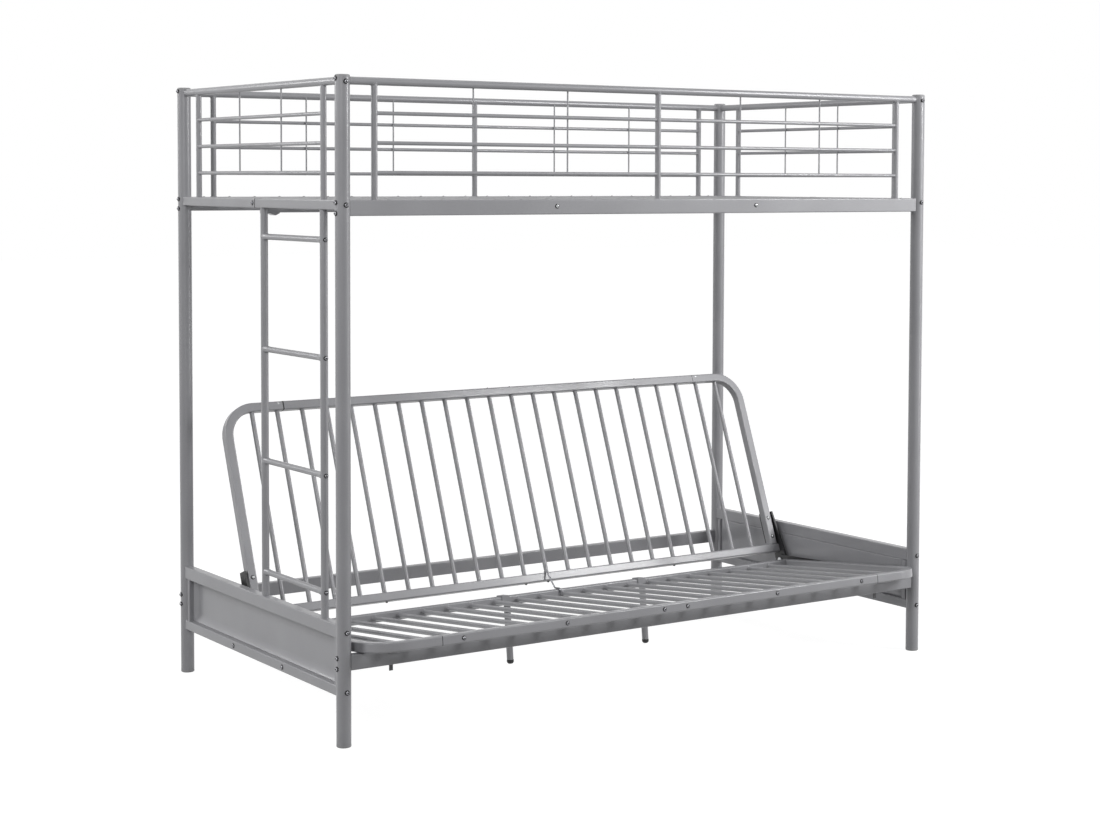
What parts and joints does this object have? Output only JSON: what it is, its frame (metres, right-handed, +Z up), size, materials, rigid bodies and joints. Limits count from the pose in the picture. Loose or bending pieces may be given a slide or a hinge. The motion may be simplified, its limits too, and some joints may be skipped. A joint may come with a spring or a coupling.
{
  "type": "sofa to bunk bed",
  "caption": "Metal bunk bed whose lower half is a slatted sofa; the seat slides forward as the back folds flat into a bed; guard rails and a ladder serve the upper bed.",
  "frame": {"origin": "on the floor, in the middle of the footprint of the whole bed as a sofa, bolt heads included", "axes": "+X runs along the bed to the right as seen from the front, +Y to the rear, +Z up"},
  "size_m": [1.997, 1.0809, 1.686],
  "materials": {
    "frame_paint": "satin silver-grey powder coat",
    "cap_plastic": "moulded grey plastic",
    "foot_plastic": "moulded grey plastic",
    "glide_plastic": "moulded black plastic",
    "tip_rubber": "black rubber",
    "arm_paint": "satin black paint",
    "hinge_steel": "grey paint on pressed steel",
    "zinc_steel": "zinc plate"
  },
  "bodies": {
    "root": {"deck_beam_brackets": "frame_paint", "deck_centre_beam": "frame_paint", "deck_end_rails": "frame_paint", "deck_front_rail": "frame_paint", "deck_rear_rail": "frame_paint", "deck_slats": "frame_paint", "guard_end_bars": "frame_paint", "guard_end_stiles": "frame_paint", "guard_end_top_rails": "frame_paint", "guard_front_bars": "frame_paint", "guard_front_top_rail": "frame_paint", "guard_long_stiles": "frame_paint", "guard_rear_bars": "frame_paint", "guard_rear_top_rail": "frame_paint", "guard_wires": "frame_paint", "guide_brackets": "hinge_steel", "ladder_bolts": "zinc_steel", "ladder_rails": "frame_paint", "ladder_rungs": "frame_paint", "lower_front_rail": "frame_paint", "lower_rear_rail": "frame_paint", "panel_left_foot_rail": "frame_paint", "panel_left_sheet": "frame_paint", "panel_left_top_rail": "frame_paint", "panel_right_foot_rail": "frame_paint", "panel_right_sheet": "frame_paint", "panel_right_top_rail": "frame_paint", "panel_uprights": "frame_paint", "post_bolts": "zinc_steel", "post_caps": "cap_plastic", "post_feet": "foot_plastic", "post_front_left": "frame_paint", "post_front_right": "frame_paint", "post_rear_left": "frame_paint", "post_rear_right": "frame_paint", "rail_bolts": "zinc_steel", "rest_brackets": "hinge_steel"},
    "glides": {"glide_pads": "glide_plastic", "glide_tongues": "hinge_steel"},
    "seat": {"seat_front_rail": "frame_paint", "seat_rear_rail": "frame_paint", "seat_side_left": "frame_paint", "seat_side_right": "frame_paint", "seat_slats": "frame_paint", "link_plates": "hinge_steel", "pivot_pins": "zinc_steel", "support_legs": "frame_paint", "leg_tips": "tip_rubber", "leg_saddles": "hinge_steel", "stay_wire": "zinc_steel", "seat_bolts": "zinc_steel", "link_bolts": "zinc_steel", "seat_end_caps": "cap_plastic"},
    "back": {"back_side_left": "frame_paint", "back_side_right": "frame_paint", "back_top_rail": "frame_paint", "back_bottom_rail": "frame_paint", "back_slats": "frame_paint", "back_arms": "arm_paint", "back_bolts": "zinc_steel"}
  },
  "joints": [
    {"name": "glide_tilt", "type": "hinge", "parent": "root", "child": "glides", "pos_m": [0, -0.44101, 0.2333], "axis": [1, 0, 0], "range_deg": [0, 6.38]},
    {"name": "seat_slide", "type": "slide", "parent": "glides", "child": "seat", "axis": [0, -0.9938, 0.1111], "range_m": [0, 0.262]},
    {"name": "back_fold", "type": "hinge", "parent": "seat", "child": "back", "pos_m": [0, 0.13804, 0.19073], "axis": [-1, 0, 0], "range_deg": [0, 75.25]}
  ],
  "couplings": [
    {"joint": "glide_tilt", "follows": "seat_slide", "rad_per_m": 0.42474},
    {"joint": "back_fold", "follows": "seat_slide", "rad_per_m": 5.0125}
  ]
}
